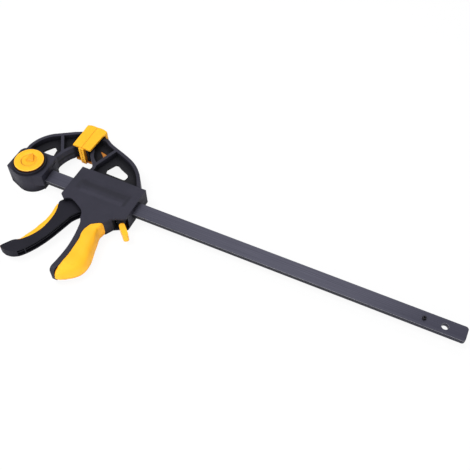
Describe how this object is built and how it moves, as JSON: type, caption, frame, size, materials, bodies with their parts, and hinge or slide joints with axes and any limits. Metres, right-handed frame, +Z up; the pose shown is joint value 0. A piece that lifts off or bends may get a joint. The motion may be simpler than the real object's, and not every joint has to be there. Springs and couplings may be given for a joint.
{
  "type": "quick release bar clamp",
  "caption": "One-handed bar clamp: a trigger drives the moving jaw along a flat steel bar, a lever releases it, and a knob locks the fixed jaw for spreading.",
  "frame": {"origin": "on the bar's centre line, half-way through its thickness, in the plane where the two closed pads meet", "axes": "the clamp lies on its side: +X along the bar to its free end, +Y from the bar to the pads, +Z up through the knob"},
  "size_m": [0.4988, 0.1835, 0.0312],
  "materials": {
    "bar_steel": "satin grey phosphate finish, fine lengthwise streaks",
    "bright_steel": "zinc plated, satin",
    "body_plastic": "charcoal glass-filled nylon, fine moulded grain",
    "yellow_plastic": "yellow moulded plastic, satin",
    "yellow_rubber": "yellow soft overmould, satin"
  },
  "bodies": {
    "clamp_body": {"front_shell": "body_plastic", "rear_shell": "body_plastic", "shell_screws": "bright_steel", "moving_pad": "yellow_rubber", "grip": "yellow_rubber", "trigger_pin": "bright_steel", "release_pin": "bright_steel", "drive_spring": "bright_steel", "brake_spring": "bright_steel"},
    "bar_and_jaw": {"bar": "bar_steel", "stop_pin": "bright_steel", "fixed_jaw": "body_plastic", "fixed_pad": "yellow_rubber", "knob_ring": "bright_steel", "lock_spring": "bright_steel"},
    "trigger_arm": {"trigger": "body_plastic", "trigger_insert": "yellow_rubber"},
    "driver": {"drive_plate": "bright_steel"},
    "release": {"release_lever": "yellow_plastic"},
    "brake": {"brake_plate": "bright_steel"},
    "lock_knob": {"knob": "yellow_plastic"},
    "lock_bolt": {"lock_pin": "bright_steel"}
  },
  "joints": [
    {"name": "bar_slide", "type": "slide", "parent": "clamp_body", "child": "bar_and_jaw", "axis": [-1, 0, 0], "range_m": [0, 0.3]},
    {"name": "trigger_squeeze", "type": "hinge", "parent": "clamp_body", "child": "trigger_arm", "pos_m": [0.033, 0.014, 0], "axis": [0, 0, 1], "range_deg": [0, 14], "stiffness_Nm_per_rad": 1, "springref_deg": -11.46},
    {"name": "drive_stroke", "type": "slide", "parent": "clamp_body", "child": "driver", "axis": [1, 0, 0], "range_m": [0, 0.0043], "deforming": ["drive_spring"]},
    {"name": "release_press", "type": "hinge", "parent": "clamp_body", "child": "release", "pos_m": [0.0853, -0.013, 0], "axis": [0, 0, -1], "range_deg": [0, 10], "stiffness_Nm_per_rad": 0.3, "springref_deg": -17.19},
    {"name": "brake_tilt", "type": "hinge", "parent": "clamp_body", "child": "brake", "pos_m": [0.0792, 0.0145, 0], "axis": [0, 0, -1], "range_deg": [0, 2], "deforming": ["brake_spring"]},
    {"name": "knob_turn", "type": "hinge", "parent": "bar_and_jaw", "child": "lock_knob", "pos_m": [-0.038, 0, 0], "axis": [0, 0, 1], "range_deg": [0, 90]},
    {"name": "lock_pin_lift", "type": "slide", "parent": "bar_and_jaw", "child": "lock_bolt", "axis": [0, 0, 1], "range_m": [0, 0.0055], "deforming": ["lock_spring"]}
  ],
  "couplings": [
    {"joint": "drive_stroke", "follows": "trigger_squeeze", "m_per_rad": 0.0172},
    {"joint": "brake_tilt", "follows": "release_press", "ratio": 0.15},
    {"joint": "lock_pin_lift", "follows": "knob_turn", "m_per_rad": 0.0034377}
  ]
}
